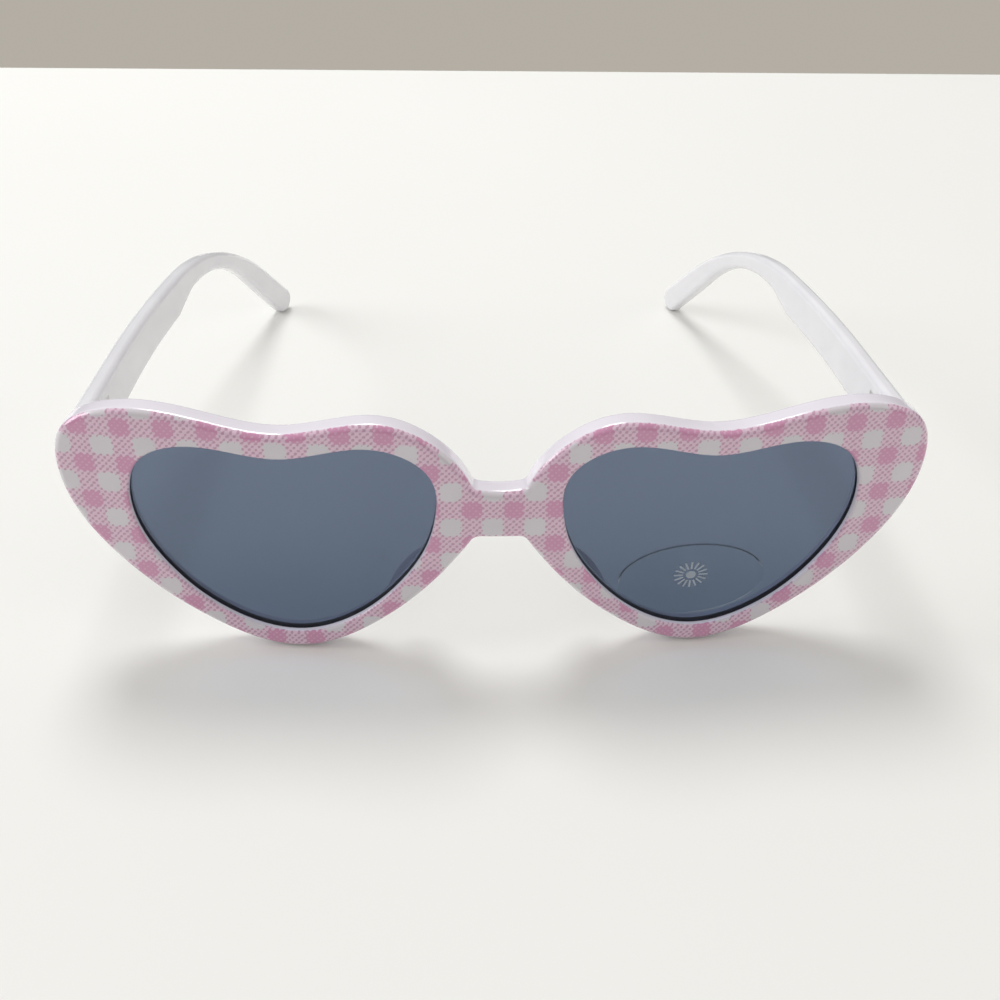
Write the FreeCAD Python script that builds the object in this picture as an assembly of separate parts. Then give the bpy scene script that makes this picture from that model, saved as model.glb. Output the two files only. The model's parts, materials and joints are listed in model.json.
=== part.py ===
import FreeCAD, Part

import math
import os

Vec = FreeCAD.Vector

# Children's heart shaped sunglasses, in millimetres.
# They are modelled in the frame of the front: x to the wearer's left, y back along the temples and z up the
# front, with z = 0 at the heart tips and y = 0 at the middle of the front face. At the end they are leaned
# back, to stand on the heart tips and temple ends. Left-hand pieces are drawn, and mirrored to the right.

# Front
FRONT_WIDTH = 128.0
FRONT_HEIGHT = 41.7
FRONT_THICKNESS = 4.0
FRONT_WRAP_RADIUS = 412.0
FRONT_EDGE_RADIUS = 1.1
BACK_EDGE_RADIUS = 0.8

# Bridge
BRIDGE_TOP_WIDTH = 7.7
BRIDGE_BOTTOM_WIDTH = 7.4
BRIDGE_TOP_HEIGHT = 29.8
BRIDGE_BOTTOM_HEIGHT = 21.4
BRIDGE_SAG = 0.4
BRIDGE_CORNER_RADIUS = 1.5

# One heart from the top of the bridge over both lobes, down to the tip and up to the bridge's underside, as
# shares of the heart's width and height
HEART_OUTLINE = [
    (0.070, 0.861),
    (0.213, 0.966),
    (0.448, 0.924),
    (0.787, 1.000),
    (0.976, 0.901),
    (1.000, 0.726),
    (0.884, 0.369),
    (0.682, 0.116),
    (0.455, 0.000),
    (0.241, 0.131),
    (0.083, 0.345),
]

# Rim widths between the heart and its lens opening
RIM_NOSE_SIDE = 5.4
RIM_TEMPLE_SIDE = 9.9
RIM_TOP = 5.3
RIM_BOTTOM = 3.2
RIM_EDGE_RADIUS = 0.5

# The lens opening, as shares of its own width and height
OPENING_OUTLINE = [
    (0.000, 0.722),
    (0.048, 0.910),
    (0.200, 1.000),
    (0.497, 0.944),
    (0.784, 0.990),
    (0.946, 0.909),
    (1.000, 0.722),
    (0.908, 0.340),
    (0.729, 0.103),
    (0.484, 0.000),
    (0.294, 0.088),
    (0.098, 0.346),
]

# Lenses, held in a groove round the opening
LENS_RECESS = 1.0
LENS_THICKNESS = 1.8
LENS_HOLD = 0.8
LENS_CLEARANCE = 0.05

# Peel-off film on the left lens, placed from the opening's nose side and lowest point
FILM_WIDTH = 23.4
FILM_HEIGHT = 13.4
FILM_THICKNESS = 0.12
FILM_FROM_NOSE_SIDE = 20.9
FILM_FROM_BOTTOM = 8.7

# Moulded nose pads, placed from the opening's nose side and lowest point
PAD_LENGTH = 13.0
PAD_WIDTH = 2.4
PAD_DEPTH = 3.2
PAD_EDGE_RADIUS = 1.0
PAD_TILT_DEG = 46.0
PAD_SPLAY_DEG = 14.0
PAD_FROM_NOSE_SIDE = 3.2
PAD_FROM_BOTTOM = 10.0

# Temples: their top edge lies a drop below the front's top, and heights run down from it. Distances run back
# from the hinge pin to the bow and to the lower corner, from the corner to the neck, and from the neck to the
# start of the hook's bend
TEMPLE_INSET = 1.5
TEMPLE_THICKNESS = 2.9
TEMPLE_TOP_DROP = 3.9
TEMPLE_HINGE_HEIGHT = 8.2
TEMPLE_BOW_DISTANCE = 21.2
TEMPLE_BOW_RADIUS = 267.0
TEMPLE_CORNER_DISTANCE = 50.6
TEMPLE_CORNER_HEIGHT = 7.3
TEMPLE_CORNER_RADIUS = 5.0
TEMPLE_NECK_DISTANCE = 8.6
TEMPLE_NECK_HEIGHT = 4.9
TEMPLE_NECK_RADIUS = 12.0
TEMPLE_BEND_DISTANCE = 4.482
TEMPLE_TOP_BEND_RADIUS = 63.0
TEMPLE_LOWER_BEND_RADIUS = 35.0
TEMPLE_HOOK_ANGLE_DEG = 41.0
TEMPLE_HOOK_LENGTH = 38.4
TEMPLE_HOOK_HEIGHT = 5.7
TEMPLE_END_RADIUS = 2.7
TEMPLE_EDGE_RADIUS = 1.1

# Hinges: the pin stands behind the front's back face, with its barrel clear of the temple's inner face
HINGE_STANDOFF = 2.4
HINGE_BARREL_RADIUS = 1.25
HINGE_BARREL_GAP = 0.25
KNUCKLE_HEIGHT = 1.6
KNUCKLE_GAP = 0.08
BUTT_GAP = 0.05
SEAT_CLEARANCE = 0.02
LEAF_THICKNESS = 0.9
FRONT_LEAF_WIDTH = 3.6
FRONT_LEAF_PROUD = 0.3
TANG_WIDTH = 2.0
TANG_HEIGHT = 3.0
TANG_DEPTH = 1.2
TEMPLE_LEAF_LENGTH = 9.0
TEMPLE_LEAF_HEIGHT = 4.0

# Hinge screws
SCREW_RADIUS = 0.6
SCREW_RUNNING_CLEARANCE = 0.05
SCREW_HEAD_RADIUS = 1.05
SCREW_HEAD_HEIGHT = 0.6
SCREW_SLOT_WIDTH = 0.3
SCREW_SLOT_DEPTH = 0.3

# How far cutting solids reach past what they cut, and how near two points are taken as one
REACH = 20.0
TOUCHING = 0.001

UP = Vec(0, 0, 1)
BACK = Vec(0, 1, 0)

HALF_WIDTH = FRONT_WIDTH / 2.0
HEART_START = BRIDGE_TOP_WIDTH / 2.0
HEART_WIDTH = HALF_WIDTH - HEART_START
OPENING_START = HEART_START + RIM_NOSE_SIDE
OPENING_WIDTH = HEART_WIDTH - RIM_NOSE_SIDE - RIM_TEMPLE_SIDE
OPENING_HEIGHT = FRONT_HEIGHT - RIM_TOP - RIM_BOTTOM
LENS_BACK = LENS_RECESS + LENS_THICKNESS


def wrap_sag(x):
    """How far the front face curves back at a distance x from the middle."""
    return FRONT_WRAP_RADIUS - math.sqrt(FRONT_WRAP_RADIUS ** 2 - x ** 2)


TEMPLE_TOP = FRONT_HEIGHT - TEMPLE_TOP_DROP
TEMPLE_OUTSIDE = HALF_WIDTH - TEMPLE_INSET
TEMPLE_INSIDE = TEMPLE_OUTSIDE - TEMPLE_THICKNESS
HINGE_X = TEMPLE_INSIDE - HINGE_BARREL_GAP - HINGE_BARREL_RADIUS
FRONT_BACK_AT_HINGE = wrap_sag(HINGE_X) + FRONT_THICKNESS
HINGE_Y = FRONT_BACK_AT_HINGE + HINGE_STANDOFF
HINGE_Z = TEMPLE_TOP - TEMPLE_HINGE_HEIGHT / 2.0
CORNER_Y = HINGE_Y + TEMPLE_CORNER_DISTANCE
NECK_Y = CORNER_Y + TEMPLE_NECK_DISTANCE
BEND_START_Y = NECK_Y + TEMPLE_BEND_DISTANCE
END_RADIUS = min(TEMPLE_END_RADIUS, TEMPLE_HOOK_HEIGHT / 2.0 - TOUCHING)
BARREL_HEIGHT = 3.0 * KNUCKLE_HEIGHT + 2.0 * KNUCKLE_GAP
BARREL_BOTTOM = HINGE_Z - BARREL_HEIGHT / 2.0
BARREL_TOP = HINGE_Z + BARREL_HEIGHT / 2.0
MIDDLE_KNUCKLE_BOTTOM = HINGE_Z - KNUCKLE_HEIGHT / 2.0


def mirrored(shape):
    return shape.mirror(Vec(0, 0, 0), Vec(1, 0, 0))


def box_between(low, high):
    size = high.sub(low)
    return Part.makeBox(size.x, size.y, size.z, low)


def prism(face):
    """A face drawn in the front view, pushed right through the front."""
    solid = face.extrude(BACK * (2.0 * REACH))
    solid.translate(BACK * -REACH)
    return solid


def arc_about(centre, radius, start, end):
    """A level arc from a start angle to an end angle, in radians from the x axis."""
    points = []
    for angle in (start, (start + end) / 2.0, end):
        points.append(centre.add(Vec(math.cos(angle), math.sin(angle), 0) * radius))
    return Part.Arc(*points).toShape()


def bent_band(centre, outside, inside, start, end):
    """A level face between two arcs about one centre."""
    arcs = [arc_about(centre, radius, start, end) for radius in (outside, inside)]
    sides = []
    for side in (0, -1):
        sides.append(Part.makeLine(arcs[0].Vertexes[side].Point, arcs[1].Vertexes[side].Point))
    return Part.Face(Part.Wire(Part.__sortEdges__(arcs + sides)))


def wrapped_slab(near, far):
    """The wrapped layer between two depths behind the front face."""
    centre = Vec(0, FRONT_WRAP_RADIUS, -REACH)
    half_angle = math.asin((HALF_WIDTH + REACH) / FRONT_WRAP_RADIUS)
    straight_ahead = -math.pi / 2.0
    band = bent_band(
        centre,
        FRONT_WRAP_RADIUS - near,
        FRONT_WRAP_RADIUS - far,
        straight_ahead - half_angle,
        straight_ahead + half_angle,
    )
    return band.extrude(UP * (FRONT_HEIGHT + 2.0 * REACH))


def wrapped_plate(face, near, far):
    return prism(face).common(wrapped_slab(near, far))


def edges_at_depth(solid, depth):
    """The edges of a wrapped solid on the surface at one depth: its outline, and its holes."""
    radius = FRONT_WRAP_RADIUS - depth
    outline = []
    holes = []
    for edge in solid.Edges:
        middle = edge.valueAt((edge.FirstParameter + edge.LastParameter) / 2.0)
        if abs(math.hypot(middle.x, middle.y - FRONT_WRAP_RADIUS) - radius) < TOUCHING:
            group = holes if edge.isClosed() else outline
            group.append(edge)
    return outline, holes


def rounded_face(corners):
    """A face from (point, radius) corners joined by straight lines and tangent arcs."""
    edges = []
    starts = []
    ends = []
    count = len(corners)
    for index, (point, radius) in enumerate(corners):
        before = corners[index - 1][0].sub(point).normalize()
        after = corners[(index + 1) % count][0].sub(point).normalize()
        half_angle = before.getAngle(after) / 2.0
        tangent = radius / math.tan(half_angle)
        starts.append(point.add(before * tangent))
        ends.append(point.add(after * tangent))
        if radius > 0:
            bisector = before.add(after).normalize()
            middle = point.add(bisector * (radius / math.sin(half_angle) - radius))
            edges.append(Part.Arc(starts[-1], middle, ends[-1]).toShape())
    for index in range(count):
        edges.append(Part.makeLine(ends[index - 1], starts[index]))
    return Part.Face(Part.Wire(Part.__sortEdges__(edges)))


# Front frame


def front_outline():
    """Two hearts joined by the bridge."""
    points = [Vec(HEART_START, 0, BRIDGE_TOP_HEIGHT)]
    for across, up in HEART_OUTLINE:
        points.append(Vec(HEART_START + across * HEART_WIDTH, 0, up * FRONT_HEIGHT))
    points.append(Vec(BRIDGE_BOTTOM_WIDTH / 2.0, 0, BRIDGE_BOTTOM_HEIGHT))
    curve = Part.BSplineCurve()
    curve.interpolate(Points=points)
    left_heart = curve.toShape()
    top_start, bottom_start = points[0], points[-1]
    sag_point = Vec(0, 0, BRIDGE_TOP_HEIGHT - BRIDGE_SAG)
    top = Part.Arc(top_start, sag_point, Vec(-top_start.x, 0, top_start.z)).toShape()
    bottom = Part.makeLine(bottom_start, Vec(-bottom_start.x, 0, bottom_start.z))
    edges = [left_heart, bottom, mirrored(left_heart), top]
    return Part.Face(Part.Wire(Part.__sortEdges__(edges)))


def closed_curve(points):
    curve = Part.BSplineCurve()
    curve.interpolate(Points=points, PeriodicFlag=True)
    return curve


def opening_face(growth=0.0):
    """The left lens opening, or the same outline grown evenly."""
    points = []
    for across, up in OPENING_OUTLINE:
        points.append(Vec(OPENING_START + across * OPENING_WIDTH, 0, RIM_BOTTOM + up * OPENING_HEIGHT))
    curve = closed_curve(points)
    if growth:
        grown = []
        for point in points:
            forward = curve.tangent(curve.parameter(point))[0]
            grown.append(point.add(forward.cross(BACK) * growth))
        curve = closed_curve(grown)
    return Part.Face(Part.Wire([curve.toShape()]))


def lens_seat():
    """What is cut away for the left lens: the opening right through, and the groove round it."""
    groove_face = opening_face(LENS_HOLD)
    groove = wrapped_plate(groove_face, LENS_RECESS - LENS_CLEARANCE, LENS_BACK + LENS_CLEARANCE)
    return prism(opening_face()).fuse(groove)


def rounded_front():
    """The wrapped front with its bridge corners, outer edges and lens openings rounded."""
    front = prism(front_outline())
    corners = []
    for edge in front.Edges:
        along = edge.Vertexes[-1].Point.sub(edge.Vertexes[0].Point)
        if math.hypot(along.x, along.z) < TOUCHING:
            corners.append(edge)
    front = front.makeFillet(BRIDGE_CORNER_RADIUS, corners)
    front = front.common(wrapped_slab(0.0, FRONT_THICKNESS))
    seat = lens_seat()
    front = front.cut([seat, mirrored(seat)])
    front = front.makeFillet(FRONT_EDGE_RADIUS, edges_at_depth(front, 0.0)[0])
    front = front.makeFillet(BACK_EDGE_RADIUS, edges_at_depth(front, FRONT_THICKNESS)[0])
    rims = edges_at_depth(front, 0.0)[1] + edges_at_depth(front, FRONT_THICKNESS)[1]
    return front.makeFillet(RIM_EDGE_RADIUS, rims)


def nose_pad():
    """A rounded fin moulded on the nose side of the rim, splayed outward as it goes back."""
    middle_x = OPENING_START + PAD_FROM_NOSE_SIDE
    tilt = math.radians(PAD_TILT_DEG)
    along = Vec(math.cos(tilt), 0, -math.sin(tilt))
    outward = Vec(math.sin(tilt), 0, math.cos(tilt))
    root_depth = (LENS_BACK + FRONT_THICKNESS) / 2.0
    root = Vec(middle_x, wrap_sag(middle_x) + root_depth, RIM_BOTTOM + PAD_FROM_BOTTOM)
    base = root.add(outward * (-PAD_WIDTH / 2.0))
    ends = [base.add(along * (sign * PAD_LENGTH / 2.0)) for sign in (-1, 1)]
    crest = base.add(BACK * (FRONT_THICKNESS - root_depth + PAD_DEPTH))
    crown = Part.Arc(ends[0], crest, ends[1]).toShape()
    face = Part.Face(Part.Wire([crown, Part.makeLine(ends[1], ends[0])]))
    pad = face.extrude(outward * PAD_WIDTH)
    crowns = [edge for edge in pad.Edges if edge.BoundBox.YMax > crest.y - TOUCHING]
    pad = pad.makeFillet(PAD_EDGE_RADIUS, crowns)
    pad.rotate(root, along, PAD_SPLAY_DEG)
    return pad


def front_frame():
    pieces = [nose_pad(), end_piece()]
    pieces += [mirrored(piece) for piece in pieces]
    pocket = front_leaf_body(SEAT_CLEARANCE)
    return rounded_front().fuse(pieces).cut([pocket, mirrored(pocket)])


# Lenses and film


def lens():
    return wrapped_plate(opening_face(LENS_HOLD - LENS_CLEARANCE), LENS_RECESS, LENS_BACK)


def lens_film():
    centre = Vec(OPENING_START + FILM_FROM_NOSE_SIDE, 0, RIM_BOTTOM + FILM_FROM_BOTTOM)
    end = centre.add(Vec(FILM_WIDTH / 2.0, 0, 0))
    top = centre.add(UP * (FILM_HEIGHT / 2.0))
    face = Part.Face(Part.Wire([Part.Ellipse(end, top, centre).toShape()]))
    return wrapped_plate(face, LENS_RECESS - FILM_THICKNESS, LENS_RECESS)


# Temples


def hook_corners():
    """The hook's corners before rounding: the bend's lower and top, then the tip's top and lower."""
    angle = math.radians(TEMPLE_HOOK_ANGLE_DEG)
    half_turn = math.tan(angle / 2.0)
    bend_lower = Vec(0, BEND_START_Y + TEMPLE_LOWER_BEND_RADIUS * half_turn, TEMPLE_TOP - TEMPLE_NECK_HEIGHT)
    bend_top = Vec(0, bend_lower.y + TEMPLE_NECK_HEIGHT * half_turn, TEMPLE_TOP)
    tip_top = bend_top.add(Vec(0, math.cos(angle), -math.sin(angle)) * TEMPLE_HOOK_LENGTH)
    tip_lower = tip_top.add(Vec(0, -math.sin(angle), -math.cos(angle)) * TEMPLE_HOOK_HEIGHT)
    return bend_lower, bend_top, tip_top, tip_lower


def temple_side_view():
    """The temple's side view: a deep front, a lower corner, a neck, and a dropped hook with a round end."""
    bend_lower, bend_top, tip_top, tip_lower = hook_corners()
    start_y = wrap_sag(TEMPLE_OUTSIDE) + FRONT_THICKNESS / 2.0
    return rounded_face([
        (Vec(0, start_y, TEMPLE_TOP - TEMPLE_HINGE_HEIGHT), 0.0),
        (Vec(0, start_y, TEMPLE_TOP), 0.0),
        (bend_top, TEMPLE_TOP_BEND_RADIUS),
        (tip_top, END_RADIUS),
        (tip_lower, END_RADIUS),
        (bend_lower, TEMPLE_LOWER_BEND_RADIUS),
        (Vec(0, NECK_Y, bend_lower.z), TEMPLE_NECK_RADIUS),
        (Vec(0, CORNER_Y, TEMPLE_TOP - TEMPLE_CORNER_HEIGHT), TEMPLE_CORNER_RADIUS),
    ])


def temple_plan():
    """The temple's plan: straight from the hinge, then bowed inward."""
    bow_y = HINGE_Y + TEMPLE_BOW_DISTANCE
    tip_top = hook_corners()[2]
    end_angle = math.asin((tip_top.y + REACH - bow_y) / TEMPLE_BOW_RADIUS)
    centre = Vec(TEMPLE_OUTSIDE - TEMPLE_BOW_RADIUS, bow_y, 0)
    outside = arc_about(centre, TEMPLE_BOW_RADIUS, 0.0, end_angle)
    inside = arc_about(centre, TEMPLE_BOW_RADIUS - TEMPLE_THICKNESS, 0.0, end_angle)
    start_outside = Vec(TEMPLE_OUTSIDE, 0, 0)
    start_inside = Vec(TEMPLE_INSIDE, 0, 0)
    edges = [
        outside,
        inside,
        Part.makeLine(start_outside, outside.Vertexes[0].Point),
        Part.makeLine(start_inside, inside.Vertexes[0].Point),
        Part.makeLine(start_outside, start_inside),
        Part.makeLine(outside.Vertexes[-1].Point, inside.Vertexes[-1].Point),
    ]
    return Part.Face(Part.Wire(Part.__sortEdges__(edges)))


def temple_blank():
    """The temple with its end piece still on, its long edges rounded."""
    side = temple_side_view().extrude(Vec(FRONT_WIDTH, 0, 0))
    plan = temple_plan().extrude(UP * (2.0 * FRONT_HEIGHT))
    plan.translate(UP * -FRONT_HEIGHT)
    blank = side.common(plan).removeSplitter()
    front_y = blank.BoundBox.YMin
    rounded = []
    for edge in blank.Edges:
        across = edge.Vertexes[-1].Point.sub(edge.Vertexes[0].Point)
        lengthwise = math.hypot(across.y, across.z) > abs(across.x)
        if lengthwise and edge.CenterOfMass.y > front_y + TOUCHING:
            rounded.append(edge)
    return blank.makeFillet(TEMPLE_EDGE_RADIUS, rounded)


def end_piece():
    """The stub moulded on the front that the temple closes against."""
    return temple_blank().common(box_between(Vec(0, 0, 0), Vec(HALF_WIDTH, HINGE_Y, FRONT_HEIGHT)))


def temple():
    front_part = box_between(Vec(0, 0, -REACH), Vec(HALF_WIDTH, HINGE_Y + BUTT_GAP, FRONT_HEIGHT))
    return temple_blank().cut([front_part, temple_leaf_plate(SEAT_CLEARANCE)])


# Hinges


def knuckle(bottom):
    return Part.makeCylinder(HINGE_BARREL_RADIUS, KNUCKLE_HEIGHT, Vec(HINGE_X, HINGE_Y, bottom), UP)


def pin_bore(radius):
    return Part.makeCylinder(radius, BARREL_HEIGHT, Vec(HINGE_X, HINGE_Y, BARREL_BOTTOM), UP)


def front_leaf_body(grown=0.0):
    """The front leaf's plate and its tang, or the pocket that holds them."""
    plate_right = TEMPLE_INSIDE - SEAT_CLEARANCE + grown
    plate_left = TEMPLE_INSIDE - SEAT_CLEARANCE - FRONT_LEAF_WIDTH - grown
    plate_front = FRONT_BACK_AT_HINGE - LEAF_THICKNESS
    plate = box_between(
        Vec(plate_left, plate_front - grown, BARREL_BOTTOM - grown),
        Vec(plate_right, FRONT_BACK_AT_HINGE + FRONT_LEAF_PROUD + grown, BARREL_TOP + grown),
    )
    tang_half_width = TANG_WIDTH / 2.0 + grown
    tang_half_height = TANG_HEIGHT / 2.0 + grown
    tang = box_between(
        Vec(HINGE_X - tang_half_width, plate_front - TANG_DEPTH - grown, HINGE_Z - tang_half_height),
        Vec(HINGE_X + tang_half_width, plate_front, HINGE_Z + tang_half_height),
    )
    return plate.fuse(tang)


def front_hinge():
    """Leaf with an upper and a lower knuckle, each on a web from the plate."""
    solids = []
    for bottom in (BARREL_BOTTOM, BARREL_TOP - KNUCKLE_HEIGHT):
        web = box_between(
            Vec(HINGE_X - HINGE_BARREL_RADIUS, FRONT_BACK_AT_HINGE, bottom),
            Vec(HINGE_X + HINGE_BARREL_RADIUS, HINGE_Y, bottom + KNUCKLE_HEIGHT),
        )
        solids += [web, knuckle(bottom)]
    leaf = front_leaf_body().fuse(solids).removeSplitter()
    return leaf.cut(pin_bore(SCREW_RADIUS + SEAT_CLEARANCE))


def temple_leaf_plate(grown=0.0):
    """The temple leaf's plate, flush with the temple's inner face, or the pocket that holds it."""
    half_height = TEMPLE_LEAF_HEIGHT / 2.0 + grown
    front_y = HINGE_Y + BUTT_GAP
    back_y = front_y + TEMPLE_LEAF_LENGTH + grown
    return box_between(
        Vec(TEMPLE_INSIDE, front_y, HINGE_Z - half_height),
        Vec(TEMPLE_INSIDE + LEAF_THICKNESS + grown, back_y, HINGE_Z + half_height),
    )


def temple_hinge():
    """Leaf with the middle knuckle on a short arm."""
    arm = box_between(
        Vec(HINGE_X, HINGE_Y + BUTT_GAP, MIDDLE_KNUCKLE_BOTTOM),
        Vec(TEMPLE_INSIDE, HINGE_Y + HINGE_BARREL_RADIUS, MIDDLE_KNUCKLE_BOTTOM + KNUCKLE_HEIGHT),
    )
    leaf = temple_leaf_plate().fuse([arm, knuckle(MIDDLE_KNUCKLE_BOTTOM)]).removeSplitter()
    return leaf.cut(pin_bore(SCREW_RADIUS + SCREW_RUNNING_CLEARANCE))


def hinge_screw():
    """Slotted screw, which is the hinge pin."""
    head_base = Vec(HINGE_X, HINGE_Y, BARREL_TOP)
    head = Part.makeCylinder(SCREW_HEAD_RADIUS, SCREW_HEAD_HEIGHT, head_base, UP)
    slot_half = SCREW_SLOT_WIDTH / 2.0
    slot = box_between(
        head_base.add(Vec(-SCREW_HEAD_RADIUS, -slot_half, SCREW_HEAD_HEIGHT - SCREW_SLOT_DEPTH)),
        head_base.add(Vec(SCREW_HEAD_RADIUS, slot_half, SCREW_HEAD_HEIGHT)),
    )
    return pin_bore(SCREW_RADIUS).fuse(head).removeSplitter().cut(slot)


# Assembly


def standing_lean():
    """The lean, in radians, that sets both the heart tips and the round temple ends on the table."""
    tip_lower = hook_corners()[3]
    angle = math.radians(TEMPLE_HOOK_ANGLE_DEG)
    inward = Vec(0, -math.cos(angle) + math.sin(angle), math.sin(angle) + math.cos(angle))
    end_centre = tip_lower.add(inward * END_RADIUS)
    tip_x = HEART_START + min(HEART_OUTLINE, key=lambda point: point[1])[0] * HEART_WIDTH
    heel_y = wrap_sag(tip_x) + FRONT_THICKNESS - BACK_EDGE_RADIUS
    reach = end_centre.y - heel_y
    return math.atan2(end_centre.z, reach) - math.asin(END_RADIUS / math.hypot(reach, end_centre.z))


def nodes():
    left = {
        "lens": lens(),
        "temple": temple(),
        "front_hinge": front_hinge(),
        "temple_hinge": temple_hinge(),
        "hinge_screw": hinge_screw(),
    }
    shapes = {"front_frame": front_frame(), "lens_film": lens_film()}
    for name, shape in left.items():
        shapes["left_" + name] = shape
        shapes["right_" + name] = mirrored(shape)
    return shapes


def stand_on_table(shapes):
    """Leans the assembly back onto the table and centres its plan on the origin."""
    lean = standing_lean()
    for shape in shapes.values():
        shape.rotate(Vec(0, 0, 0), Vec(1, 0, 0), -math.degrees(lean))
    bounds = Part.makeCompound(list(shapes.values())).optimalBoundingBox(False, False)
    shift = Vec(0, -(bounds.YMin + bounds.YMax) / 2.0, -bounds.ZMin)
    for shape in shapes.values():
        shape.translate(shift)
    return lean, shift


parts = nodes()
lean, shift = stand_on_table(parts)
os.makedirs("parts", exist_ok=True)
for name, shape in parts.items():
    shape.exportStep("parts/" + name + ".step")
    print(name, "solids", len(shape.Solids), "volume", round(shape.Volume, 2), "valid", shape.isValid())
print("lean", round(math.degrees(lean), 3), "shift", shift)
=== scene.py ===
import json
import math

import bpy
from mathutils import Euler, Matrix, Vector


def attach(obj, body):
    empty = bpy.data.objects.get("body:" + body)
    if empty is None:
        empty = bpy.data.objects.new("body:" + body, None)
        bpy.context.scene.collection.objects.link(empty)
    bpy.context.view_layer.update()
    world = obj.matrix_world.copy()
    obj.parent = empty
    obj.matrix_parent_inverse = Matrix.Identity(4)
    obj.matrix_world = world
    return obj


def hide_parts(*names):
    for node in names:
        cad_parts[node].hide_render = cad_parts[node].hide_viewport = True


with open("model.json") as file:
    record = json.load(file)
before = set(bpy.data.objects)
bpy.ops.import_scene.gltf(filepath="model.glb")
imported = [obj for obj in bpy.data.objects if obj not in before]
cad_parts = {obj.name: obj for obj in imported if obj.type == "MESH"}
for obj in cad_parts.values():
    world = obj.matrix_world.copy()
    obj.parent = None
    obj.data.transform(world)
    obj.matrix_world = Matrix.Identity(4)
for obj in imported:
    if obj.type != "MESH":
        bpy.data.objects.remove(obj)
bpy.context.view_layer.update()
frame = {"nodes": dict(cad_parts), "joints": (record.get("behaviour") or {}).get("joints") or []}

# The front leans back on its heart tips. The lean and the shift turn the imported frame, in metres, into the
# front's own millimetres: x to the wearer's left, y back, z up the front from the heart tips.
hinge_axis = next(j["axis"] for j in frame["joints"] if j["name"] == "left_temple_fold")
LEAN = math.atan2(hinge_axis[1], hinge_axis[2])
TO_FRONT_MM = (0.0, 59.1059, 4.67551)
FACING = (0.0, -math.cos(LEAN), math.sin(LEAN))
MM_PER_M = 1000.0
WRAP_RADIUS = 412.0

# The printed check, in the front's own millimetres: its bands, and the middle of one dark column and row
CHECK_PITCH = 6.158
WHITE_HALF_WIDTH = 1.62
CHECK_COLUMN = 2.07
CHECK_ROW = 38.93

# The squares of the check: where a white and a dark one end, as round_square measures, and how far the dots
# fray their edges
SQUARE_ROUNDNESS = 3.2
WHITE_ENDS = (0.80, 1.30)
DARK_ENDS = (0.45, 1.05)
EDGE_FRAY = 0.32

# The print's dots: spacing and wander in millimetres, the share of their columns against their rows, how
# uneven they are and how soft at the edge
SCREEN_PITCH = 0.98
SCREEN_WANDER = 0.10
COLUMN_WEIGHT = 0.42
DOT_UNEVENNESS = 0.30
DOT_SOFTNESS = 0.28

# Ink lies where the dots rise above a level, which falls from the white squares to the half pink bands, and
# by a further drop to the dark squares
WHITE_INK_LEVEL = 1.3
HALF_INK_LEVEL = 0.24
HALF_INK_FROM = 0.7
DARK_INK_DROP = -0.86
INK_HEIGHT = 0.06

# The print ends at this depth, and fades over this range of how squarely a surface faces forward
PRINT_DEPTH = 1.3
PRINT_FADE = (0.26, 0.46)
PRINT_FADE_RAGGED = 0.12

# The peel-off film, in the front's own millimetres. The depths are behind the front face.
FILM_CENTRE = (30.15, 11.9)
FILM_HALF_SIZE = (11.7, 6.7)
FILM_FRONT_DEPTH = 0.88
FILM_BACK_DEPTH = 0.95

# The film's mesh: rings, points on each, and the middle face as a share of a ring's width
FILM_RINGS = 6
FILM_STEPS = 96
FILM_HUB = 0.02

# The film's rim in shares of its half size: its width, and where it carries painted shade above and a painted
# highlight below
FILM_RIM = (0.966, 0.984)
SHADE_RIM_SLANT = 0.12
SHADE_RIM_FROM = (0.05, 0.35)
SHADE_RIM_COVER = 0.85
HIGHLIGHT_RIM_SLANT = 0.6
HIGHLIGHT_RIM_BELOW = (-1.1, -0.9)
HIGHLIGHT_RIM_COVER = 0.25

# The sun on the film, in millimetres. A pair is the soft edge of a shape.
SUN_CENTRE = (30.0, 12.78)
SUN_STRETCH = 1.12
SUN_DISC = (0.66, 0.76)
SUN_RAYS = 16
SUN_RAY_START = (1.05, 1.15)
SUN_RAY_END = (2.35, 2.5)
SUN_RAY_HALF_WIDTH = (0.10, 0.17)
SUN_COVER = 0.48

# Colours. A pair is the two ends of a soft mottling.
BARE_WHITES = ((0.83, 0.785, 0.865, 1.0), (0.87, 0.825, 0.905, 1.0))
PRINT_WHITES = ((0.70, 0.66, 0.705, 1.0), (0.735, 0.695, 0.74, 1.0))
HALF_PAPER = (0.79, 0.572, 0.70, 1.0)
HALF_INK = (0.565, 0.337, 0.458, 1.0)
DARK_PAPER = (0.725, 0.425, 0.582, 1.0)
DARK_INK = (0.655, 0.302, 0.478, 1.0)
TEMPLE_WHITES = ((0.80, 0.795, 0.83, 1.0), (0.84, 0.835, 0.865, 1.0))
# The lens tints run from below to above: painted shade, darker where the shaded floor is seen through the
# lower lens
LENS_TINTS = ((0.333, 0.388, 0.474, 1.0), (0.361, 0.410, 0.498, 1.0))
# The near-black lens edge: partly the deep tint along its width, partly painted shade of the groove around it
LENS_EDGES = ((0.006, 0.010, 0.016, 1.0), (0.014, 0.022, 0.032, 1.0))
FILM_CLEARS = ((0.985, 0.995, 0.99, 1.0), (0.995, 1.0, 0.997, 1.0))
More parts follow.
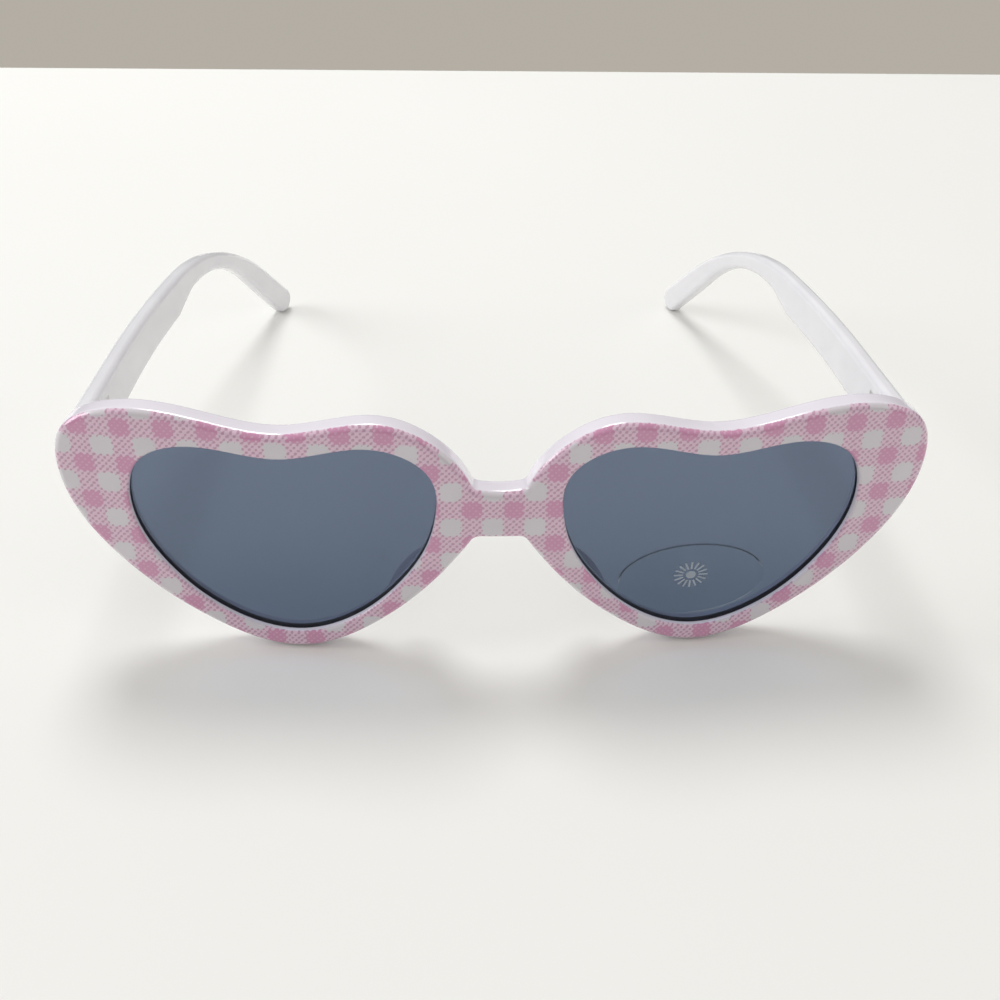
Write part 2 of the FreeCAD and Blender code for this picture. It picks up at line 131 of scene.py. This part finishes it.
# The film rim's painted highlight below and painted shade above
PAINTED_HIGHLIGHT_RIM = (0.62, 0.66, 0.70, 1.0)
PAINTED_SHADE_RIM = (0.01, 0.02, 0.035, 1.0)
SUN_GREYS = ((0.60, 0.63, 0.67, 1.0), (0.68, 0.71, 0.75, 1.0))
HINGE_STEELS = ((0.42, 0.42, 0.43, 1.0), (0.62, 0.61, 0.60, 1.0))
SCREW_STEELS = ((0.50, 0.50, 0.51, 1.0), (0.72, 0.71, 0.70, 1.0))
FLOOR_PALES = ((0.865, 0.865, 0.835, 1.0), (0.89, 0.89, 0.86, 1.0))

# How fine each noise is: per millimetre on the plastics, and per metre on the steel and the floor
CLOUD_SCALE = 0.11
SWELL_SCALE = 0.22
WANDER_SCALE = 0.7
SPECKLE_SCALE = 2.6
LENS_CLOUD_SCALE = 0.05
LENS_POLISH_SCALE = 0.4
FILM_HAZE_SCALE = 0.25
HINGE_LINES = (300.0, 300.0, 6000.0)
SCREW_LINES = (4000.0, 4000.0, 400.0)
STEEL_SPOT_SCALE = 900.0
FLOOR_MOTTLE_SCALE = 9.0

# The ranges in which a noise's values mostly lie
NOISE_RANGE = (0.3, 0.7)
WIDE_NOISE_RANGE = (0.25, 0.75)
WIDEST_NOISE_RANGE = (0.2, 0.8)

# Gloss and relief. Bump distances are in metres.
PLASTIC_IOR = 1.5
PLASTIC_ROUGHNESS = (0.19, 0.25)
PRINT_COAT = 0.8
TEMPLE_COAT = 0.6
COAT_ROUGHNESS = 0.08
SWELL_STRENGTH = 0.08
SWELL_DISTANCE = 0.0001
STEEL_ROUGHNESS = (0.22, 0.40)
STEEL_LINE_STRENGTH = 0.15
STEEL_LINE_DISTANCE = 0.00005
HEAD_ON_MIRROR = 0.04

# The lens: heights in millimetres over which its tint grows paler, a painted shade darker towards the bottom,
# how far clouds shift them, its polish, and how squarely a face looks forward or back where the cut edge ends
LENS_SHADE_HEIGHTS = (8.0, 42.0)
LENS_TINT_CLOUD = 8.0
LENS_POLISH = (0.03, 0.07)
LENS_EDGE_FACING = (0.55, 0.7)

# Shading of the CAD pieces: the welding distance in metres, and the angle past which an edge stays sharp
WELD_DISTANCE = 1e-6
SHARP_ANGLE = math.radians(33)

# The place: floor and lamps in metres and watts, and the room's light from the horizon up
FLOOR_REACH = 1.5
FLOOR_BACK = 0.254
ROOM_COLOUR = (1.0, 0.972, 0.945, 1.0)
ROOM_STRENGTHS = (0.18, 0.615)
ROOM_TOP = 0.9
WALL_COLOUR = (0.455, 0.422, 0.372, 1.0)
LAMPS = {
    "window": {"place": (-0.14, 0.60, 1.10), "size": 0.50, "power": 6.4, "colour": (0.985, 0.995, 1.0)},
    "side_window": {"place": (-1.25, 0.06, 0.58), "size": 0.8, "power": 7.4, "colour": (0.97, 0.98, 1.0)},
    "fill": {"place": (0.95, -0.35, 0.45), "size": 0.8, "power": 1.3, "colour": (1.0, 0.985, 0.965)},
}

# The camera, where the photograph was taken from
CAMERA_PLACE = (-0.0067767, -0.1762969, 0.1222926)
CAMERA_TURN_DEG = (51.934, -1.0662, -2.3934)
FOCAL_LENGTH = 37.803
SENSOR_WIDTH = 36.0
CLIP_START = 0.005


class Graph:
    """The node tree of a material or of the world, with short calls for the nodes used here."""

    def __init__(self, owner, output="ShaderNodeOutputMaterial"):
        owner.use_nodes = True
        self.owner = owner
        self.tree = owner.node_tree
        self.tree.nodes.clear()
        self.output = self.tree.nodes.new(output)

    def put(self, socket, value):
        if isinstance(value, bpy.types.NodeSocket):
            self.tree.links.new(value, socket)
        else:
            socket.default_value = value

    def node(self, kind, inputs=None, **settings):
        made = self.tree.nodes.new(kind)
        for key, value in settings.items():
            setattr(made, key, value)
        for key, value in (inputs or {}).items():
            self.put(made.inputs[key], value)
        return made

    def math(self, operation, *values):
        made = self.node("ShaderNodeMath", operation=operation)
        for socket, value in zip(made.inputs, values):
            self.put(socket, value)
        return made.outputs[0]

    def ramp(self, value, between, start=0.0, end=1.0):
        """A smooth step of value: start at the first of between and below, end at the second and above."""
        made = self.node("ShaderNodeMapRange", interpolation_type="SMOOTHSTEP")
        for socket, setting in zip(made.inputs, (value, *between, start, end)):
            self.put(socket, setting)
        return made.outputs[0]

    def mix(self, factor, first, second):
        made = self.node("ShaderNodeMix", data_type="RGBA", inputs={0: factor, 6: first, 7: second})
        return made.outputs[2]

    def noise(self, where, scale, detail=2.0, roughness=0.5):
        made = self.node("ShaderNodeTexNoise", inputs={
            "Vector": where, "Scale": scale, "Detail": detail, "Roughness": roughness})
        return made.outputs["Fac"]

    def point(self):
        """The surface point in the frame's metres."""
        return self.node("ShaderNodeTexCoord").outputs["Object"]

    def place(self):
        """The surface point in the front's own millimetres."""
        mapped = self.node("ShaderNodeMapping", inputs={
            "Vector": self.point(), "Location": TO_FRONT_MM, "Rotation": (LEAN, 0.0, 0.0),
            "Scale": (MM_PER_M,) * 3})
        return mapped.outputs[0]

    def parts(self, vector):
        split = self.node("ShaderNodeSeparateXYZ", inputs={0: vector})
        return split.outputs[0], split.outputs[1], split.outputs[2]

    def length(self, across, up):
        """The length of a flat vector."""
        squares = self.math("ADD", self.math("MULTIPLY", across, across), self.math("MULTIPLY", up, up))
        return self.math("SQRT", squares)

    def facing(self):
        """How squarely the surface faces the front, from -1 to 1."""
        normal = self.node("ShaderNodeTexCoord").outputs["Normal"]
        made = self.node("ShaderNodeVectorMath", operation="DOT_PRODUCT", inputs={0: normal, 1: FACING})
        return made.outputs["Value"]

    def front_depth(self, x, y):
        """How far a point lies behind the wrapped front face."""
        wrap = self.math("DIVIDE", self.math("MULTIPLY", x, x), 2 * WRAP_RADIUS)
        return self.math("SUBTRACT", y, wrap)

    def mirror_share(self):
        """How much light a clear sheet mirrors, by Schlick's formula, alike from both of its sides."""
        slant = self.node("ShaderNodeLayerWeight", inputs={"Blend": 0.5}).outputs["Facing"]
        glancing = self.math("POWER", slant, 5.0)
        return self.math("MULTIPLY_ADD", glancing, 1.0 - HEAD_ON_MIRROR, HEAD_ON_MIRROR)

    def bump(self, height, strength, distance):
        made = self.node("ShaderNodeBump", inputs={
            "Height": height, "Strength": strength, "Distance": distance})
        return made.outputs[0]

    def shader(self, kind, inputs):
        return self.node(kind, inputs).outputs[0]

    def blend(self, factor, first, second):
        """A mix of two shaders."""
        return self.shader("ShaderNodeMixShader", {0: factor, 1: first, 2: second})

    def finish(self, shader):
        self.tree.links.new(shader, self.output.inputs["Surface"])
        return self.owner


def new_material(name):
    return Graph(bpy.data.materials.new(name))


def plastic_skin(g, where):
    """Moulded plastic's slight unevenness: a cloudy mottling, its roughness and a faint swell."""
    noise = g.noise(where, CLOUD_SCALE)
    rough = g.ramp(noise, NOISE_RANGE, *PLASTIC_ROUGHNESS)
    swell = g.noise(where, SWELL_SCALE, 1.0)
    return g.ramp(noise, NOISE_RANGE), rough, swell


def glossy_plastic(g, colour, rough, coat, height):
    """Finishes a graph as moulded plastic with a thin clear gloss."""
    return g.finish(g.shader("ShaderNodeBsdfPrincipled", {
        "Base Color": colour, "Roughness": rough, "IOR": PLASTIC_IOR, "Coat Weight": coat,
        "Coat Roughness": COAT_ROUGHNESS, "Normal": g.bump(height, SWELL_STRENGTH, SWELL_DISTANCE)}))


def off_white(g, along, dark_middle):
    """How far a point is from the middle of the nearest white band, in half band widths."""
    start = g.math("SUBTRACT", along, dark_middle + CHECK_PITCH / 2)
    away = g.math("PINGPONG", start, CHECK_PITCH / 2)
    return g.math("DIVIDE", away, WHITE_HALF_WIDTH)


def round_square(g, across, up):
    """Under 1 inside a square with round corners, from its half widths across and up."""
    return g.math("ADD", g.math("POWER", across, SQUARE_ROUNDNESS), g.math("POWER", up, SQUARE_ROUNDNESS))


def dot_screen(g, where, x, z, speckle):
    """The print's slanted rows and columns of dots, high in the middle of each dot."""
    wander = g.ramp(g.noise(where, WANDER_SCALE), WIDE_NOISE_RANGE, -SCREEN_WANDER, SCREEN_WANDER)
    waves = []
    for way in ("ADD", "SUBTRACT"):
        along = g.math("ADD", g.math(way, x, z), wander)
        waves.append(g.math("COSINE", g.math("MULTIPLY", along, 2 * math.pi / SCREEN_PITCH)))
    columns, rows = waves
    even = g.math("MULTIPLY_ADD", columns, COLUMN_WEIGHT, g.math("MULTIPLY", rows, 1.0 - COLUMN_WEIGHT))
    return g.math("ADD", even, g.ramp(speckle, WIDE_NOISE_RANGE, -DOT_UNEVENNESS, DOT_UNEVENNESS))


def gingham(g, x, z, screen, white):
    """The check's colour and its dots: white squares, half pink bands and dark squares where they cross."""
    across = off_white(g, x, CHECK_COLUMN)
    up = off_white(g, z, CHECK_ROW)
    dark_middle = CHECK_PITCH / 2 / WHITE_HALF_WIDTH
    fray = g.math("MULTIPLY", screen, EDGE_FRAY)
    pink = g.ramp(g.math("ADD", round_square(g, across, up), fray), WHITE_ENDS)
    from_dark = round_square(g, g.math("SUBTRACT", dark_middle, across), g.math("SUBTRACT", dark_middle, up))
    dark = g.ramp(g.math("SUBTRACT", from_dark, fray), DARK_ENDS, 1.0, 0.0)
    level = g.ramp(pink, (0.0, HALF_INK_FROM), WHITE_INK_LEVEL, HALF_INK_LEVEL)
    level = g.math("ADD", level, g.ramp(dark, (0.0, 1.0), 0.0, DARK_INK_DROP))
    dots = g.ramp(g.math("SUBTRACT", screen, level), (-DOT_SOFTNESS, DOT_SOFTNESS))
    paper = g.mix(dark, g.mix(pink, white, HALF_PAPER), DARK_PAPER)
    return g.mix(dots, paper, g.mix(dark, HALF_INK, DARK_INK)), dots


def printed_plastic():
    """Glossy white plastic with a pink gingham check, printed in dots, on its front face only."""
    g = new_material("printed_plastic")
    where = g.place()
    x, y, z = g.parts(where)
    cloud, rough, swell = plastic_skin(g, where)
    speckle = g.noise(where, SPECKLE_SCALE, 3.0)
    screen = dot_screen(g, where, x, z, speckle)
    pattern, dots = gingham(g, x, z, screen, g.mix(cloud, *PRINT_WHITES))

    shallow = g.math("LESS_THAN", g.front_depth(x, y), PRINT_DEPTH)
    ragged = g.ramp(speckle, WIDEST_NOISE_RANGE, -PRINT_FADE_RAGGED, PRINT_FADE_RAGGED)
    printed = g.math("MULTIPLY", g.ramp(g.math("ADD", g.facing(), ragged), PRINT_FADE), shallow)
    height = g.math("MULTIPLY_ADD", g.math("MULTIPLY", dots, printed), INK_HEIGHT, swell)
    colour = g.mix(printed, g.mix(cloud, *BARE_WHITES), pattern)
    return glossy_plastic(g, colour, rough, PRINT_COAT, height)


def white_plastic():
    """The temples' glossy white moulded plastic."""
    g = new_material("white_plastic")
    cloud, rough, swell = plastic_skin(g, g.place())
    return glossy_plastic(g, g.mix(cloud, *TEMPLE_WHITES), rough, TEMPLE_COAT, swell)


def tinted_lens():
    """Blue-grey see-through lens, darker towards the bottom as painted shade, with a cut edge painted
    near-black: partly its deep tint along the width, partly painted shade of the groove it sits in.

    What is seen through it is bent as in a real lens, and the lamps' light goes straight through.
    """
    g = new_material("tinted_lens")
    where = g.place()
    cloud = g.noise(where, LENS_CLOUD_SCALE)
    # Painted shade: the tint darkens towards the bottom, where the shaded floor is seen through the lens
    shade_height = g.math("MULTIPLY_ADD", cloud, LENS_TINT_CLOUD, g.parts(where)[2])
    tint = g.mix(g.ramp(shade_height, LENS_SHADE_HEIGHTS), *LENS_TINTS)
    bent = g.shader("ShaderNodeBsdfRefraction", {"Color": tint, "Roughness": 0.0, "IOR": PLASTIC_IOR})
    straight = g.shader("ShaderNodeBsdfTransparent", {"Color": tint})
    lamp_ray = g.node("ShaderNodeLightPath").outputs["Is Shadow Ray"]
    polish = g.ramp(g.noise(where, LENS_POLISH_SCALE, 3.0), NOISE_RANGE, *LENS_POLISH)
    gloss = g.shader("ShaderNodeBsdfGlossy", {"Roughness": polish})
    face = g.blend(g.mirror_share(), g.blend(lamp_ray, bent, straight), gloss)
    # Painted shade, in part: the cut edge is near-black for its deep tint and for the shade in the groove
    # around it
    edge = g.shader("ShaderNodeBsdfPrincipled", {"Base Color": g.mix(cloud, *LENS_EDGES), "Roughness": 0.3})
    side = g.ramp(g.math("ABSOLUTE", g.facing()), LENS_EDGE_FACING, 1.0, 0.0)
    return g.finish(g.blend(side, face, edge))


def film_rim(g, x, z):
    """The film's rim: how far it is painted shade rather than painted highlight, which is above, and how much
    of the sheet it covers.
    """
    u = g.math("DIVIDE", g.math("SUBTRACT", x, FILM_CENTRE[0]), FILM_HALF_SIZE[0])
    v = g.math("DIVIDE", g.math("SUBTRACT", z, FILM_CENTRE[1]), FILM_HALF_SIZE[1])
    shaded_top = g.ramp(g.math("SUBTRACT", v, g.math("MULTIPLY", u, SHADE_RIM_SLANT)), SHADE_RIM_FROM)
    below = g.math("SUBTRACT", v, g.math("MULTIPLY", u, HIGHLIGHT_RIM_SLANT))
    lit_bottom = g.ramp(below, HIGHLIGHT_RIM_BELOW, 1.0, 0.0)
    shade_part = g.math("MULTIPLY", shaded_top, SHADE_RIM_COVER)
    highlight_part = g.math("MULTIPLY", lit_bottom, HIGHLIGHT_RIM_COVER)
    rim = g.ramp(g.length(u, v), FILM_RIM)
    return shaded_top, g.math("MULTIPLY", rim, g.math("MAXIMUM", shade_part, highlight_part))


def printed_sun(g, x, z):
    """A plain sun: a disc with a ring of rays."""
    sun_x = g.math("DIVIDE", g.math("SUBTRACT", x, SUN_CENTRE[0]), SUN_STRETCH)
    sun_z = g.math("SUBTRACT", z, SUN_CENTRE[1])
    radius = g.length(sun_x, sun_z)
    turn = g.math("PINGPONG", g.math("ARCTAN2", sun_z, sun_x), math.pi / SUN_RAYS)
    ray = g.ramp(g.math("MULTIPLY", radius, turn), SUN_RAY_HALF_WIDTH, 1.0, 0.0)
    reach = g.math("MULTIPLY", g.ramp(radius, SUN_RAY_START), g.ramp(radius, SUN_RAY_END, 1.0, 0.0))
    return g.math("MAXIMUM", g.math("MULTIPLY", ray, reach), g.ramp(radius, SUN_DISC, 1.0, 0.0))


def clear_film():
    """Peel-off film: clear, with a thin rim of painted shade above, a painted highlight below and a plain sun
    printed in grey.
    """
    g = new_material("clear_film")
    where = g.place()
    x, y, z = g.parts(where)
    front = g.math("LESS_THAN", g.front_depth(x, y), (FILM_FRONT_DEPTH + FILM_BACK_DEPTH) / 2)
    haze = g.noise(where, FILM_HAZE_SCALE)
    clear = g.shader("ShaderNodeBsdfTransparent", {"Color": g.mix(haze, *FILM_CLEARS)})
    # The rim is painted light: shade along the film's top edge and a highlight along its bottom edge
    shaded_top, rim = film_rim(g, x, z)
    painted_rim_colour = g.mix(shaded_top, PAINTED_HIGHLIGHT_RIM, PAINTED_SHADE_RIM)
    line = g.shader("ShaderNodeBsdfPrincipled", {"Base Color": painted_rim_colour, "Roughness": 0.3})
    grey = g.shader("ShaderNodeBsdfPrincipled", {"Base Color": g.mix(haze, *SUN_GREYS), "Roughness": 0.5})
    sheet = g.blend(g.math("MULTIPLY", rim, front), clear, line)
    ink = g.math("MULTIPLY", g.math("MULTIPLY", printed_sun(g, x, z), SUN_COVER), front)
    return g.finish(g.blend(ink, sheet, grey))


def steel(name, colours, lines):
    """Plated steel with fine drawn lines."""
    g = new_material(name)
    point = g.point()
    stretched = g.node("ShaderNodeMapping", inputs={"Vector": point, "Scale": lines}).outputs[0]
    drawn = g.noise(stretched, 1.0, 4.0, 0.6)
    spots = g.noise(point, STEEL_SPOT_SCALE, 3.0)
    return g.finish(g.shader("ShaderNodeBsdfPrincipled", {
        "Base Color": g.mix(g.math("MULTIPLY", drawn, spots), *colours), "Metallic": 1.0,
        "Roughness": g.ramp(drawn, NOISE_RANGE, *STEEL_ROUGHNESS),
        "Normal": g.bump(drawn, STEEL_LINE_STRENGTH, STEEL_LINE_DISTANCE)}))


def floor_paint():
    """A matt, pale, barely mottled table top."""
    g = new_material("floor_paint")
    return g.finish(g.shader("ShaderNodeBsdfPrincipled", {
        "Base Color": g.mix(g.noise(g.point(), FLOOR_MOTTLE_SCALE, 3.0), *FLOOR_PALES), "Roughness": 0.7,
        "Specular IOR Level": 0.25}))


def crisp_edges():
    """Modifier nodes that weld the facets and part the shading at real edges, and nowhere else."""
    tree = bpy.data.node_groups.new("crisp_edges", "GeometryNodeTree")
    tree.interface.new_socket("Geometry", in_out="INPUT", socket_type="NodeSocketGeometry")
    tree.interface.new_socket("Geometry", in_out="OUTPUT", socket_type="NodeSocketGeometry")
    start = tree.nodes.new("NodeGroupInput")
    weld = tree.nodes.new("GeometryNodeMergeByDistance")
    weld.inputs["Distance"].default_value = WELD_DISTANCE
    plain = tree.nodes.new("GeometryNodeRemoveAttribute")
    plain.inputs["Name"].default_value = "custom_normal"
    smooth = tree.nodes.new("GeometryNodeSetShadeSmooth")
    part = tree.nodes.new("GeometryNodeSetShadeSmooth")
    part.domain = "EDGE"
    part.inputs["Shade Smooth"].default_value = False
    end = tree.nodes.new("NodeGroupOutput")
    chain = [start, weld, plain, smooth, part, end]
    for before, after in zip(chain, chain[1:]):
        tree.links.new(before.outputs[0], after.inputs[0])
    angle = tree.nodes.new("GeometryNodeInputMeshEdgeAngle")
    sharp = tree.nodes.new("FunctionNodeCompare")
    sharp.inputs[1].default_value = SHARP_ANGLE
    tree.links.new(angle.outputs["Unsigned Angle"], sharp.inputs[0])
    tree.links.new(sharp.outputs[0], part.inputs["Selection"])
    return tree


def add_mesh(name, points, faces, material):
    mesh = bpy.data.meshes.new(name)
    mesh.from_pydata(points, [], faces)
    mesh.materials.append(material)
    made = bpy.data.objects.new(name, mesh)
    bpy.context.scene.collection.objects.link(made)
    return made


def film_points(depth):
    """One side of the film: rings of points on the wrap, from a tiny hub to the oval's edge."""
    to_scene = Matrix.Rotation(-LEAN, 3, "X") * (1 / MM_PER_M)
    points = []
    for ring in range(FILM_RINGS + 1):
        share = (ring + FILM_HUB) / (FILM_RINGS + FILM_HUB)
        for step in range(FILM_STEPS):
            turn = 2 * math.pi * step / FILM_STEPS
            x = FILM_CENTRE[0] + FILM_HALF_SIZE[0] * math.cos(turn) * share
            z = FILM_CENTRE[1] + FILM_HALF_SIZE[1] * math.sin(turn) * share
            front_point = Vector((x, depth + x * x / (2 * WRAP_RADIUS), z))
            points.append(to_scene @ (front_point - Vector(TO_FRONT_MM)))
    return points


def film_sheet():
    """The film as a thin oval that follows the lens and stays just clear of it.

    The CAD film lies on the lens face, where a ray can miss one of two faces in the same place.
    """
    points = film_points(FILM_FRONT_DEPTH) + film_points(FILM_BACK_DEPTH)
    behind = len(points) // 2
    rim = FILM_RINGS * FILM_STEPS
    faces = [list(range(FILM_STEPS)), [behind + step for step in reversed(range(FILM_STEPS))]]
    for step in range(FILM_STEPS):
        after = (step + 1) % FILM_STEPS
        for ring in range(FILM_RINGS):
            near, far = ring * FILM_STEPS, (ring + 1) * FILM_STEPS
            face = [near + step, far + step, far + after, near + after]
            faces.append(face)
            faces.append([behind + corner for corner in reversed(face)])
        faces.append([rim + after, rim + step, behind + rim + step, behind + rim + after])
    made = add_mesh("film_sheet", points, faces, clear_film())
    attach(made, "front")
    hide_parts("lens_film")


def floor_sheet():
    """The floor, which ends behind the object as the table in the photograph does."""
    corners = [(-FLOOR_REACH, -FLOOR_REACH, 0.0), (FLOOR_REACH, -FLOOR_REACH, 0.0),
               (FLOOR_REACH, FLOOR_BACK, 0.0), (-FLOOR_REACH, FLOOR_BACK, 0.0)]
    made = add_mesh("floor", corners, [[0, 1, 2, 3]], floor_paint())


def room_light():
    """A pale room, brighter overhead. The camera sees a plain wall of it, also through the lenses."""
    g = Graph(bpy.data.worlds.new("room"), "ShaderNodeOutputWorld")
    way = g.node("ShaderNodeTexCoord").outputs["Generated"]
    strength = g.ramp(g.parts(way)[2], (0.0, ROOM_TOP), *ROOM_STRENGTHS)
    light = g.shader("ShaderNodeBackground", {"Color": ROOM_COLOUR, "Strength": strength})
    wall = g.shader("ShaderNodeBackground", {"Color": WALL_COLOUR})
    path = g.node("ShaderNodeLightPath")
    seen = g.math("MAXIMUM", path.outputs["Is Camera Ray"], path.outputs["Is Transmission Ray"])
    bpy.context.scene.world = g.finish(g.blend(seen, light, wall))


def lamp(name, place, size, power, colour):
    """A round, soft lamp that points at the object."""
    data = bpy.data.lights.new(name, "AREA")
    data.shape = "DISK"
    data.size = size
    data.energy = power
    data.color = colour
    made = bpy.data.objects.new(name, data)
    made.location = place
    made.rotation_euler = (-Vector(place)).to_track_quat("-Z", "Y").to_euler()
    bpy.context.scene.collection.objects.link(made)


def photo_camera():
    data = bpy.data.cameras.new("camera")
    data.sensor_width = SENSOR_WIDTH
    data.lens = FOCAL_LENGTH
    data.clip_start = CLIP_START
    made = bpy.data.objects.new("camera", data)
    made.location = CAMERA_PLACE
    made.rotation_euler = Euler([math.radians(turn) for turn in CAMERA_TURN_DEG], "XYZ")
    bpy.context.scene.collection.objects.link(made)
    bpy.context.scene.camera = made


# The CAD pieces and their materials
finishes = [
    (printed_plastic(), ["front_frame"]),
    (white_plastic(), ["left_temple", "right_temple"]),
    (tinted_lens(), ["left_lens", "right_lens"]),
    (steel("hinge_steel", HINGE_STEELS, HINGE_LINES), [
        "left_front_hinge", "right_front_hinge", "left_temple_hinge", "right_temple_hinge"]),
    (steel("screw_steel", SCREW_STEELS, SCREW_LINES), ["left_hinge_screw", "right_hinge_screw"]),
]
edges = crisp_edges()
for material, names in finishes:
    for name in names:
        node = frame["nodes"][name]
        node.data.materials.clear()
        node.data.materials.append(material)
        node.modifiers.new("crisp_edges", "NODES").node_group = edges
        even = node.modifiers.new("even_normals", "WEIGHTED_NORMAL")
        even.keep_sharp = True

film_sheet()
floor_sheet()
room_light()
for name, settings in LAMPS.items():
    lamp(name, **settings)
photo_camera()
bpy.context.scene.view_settings.view_transform = "Standard"
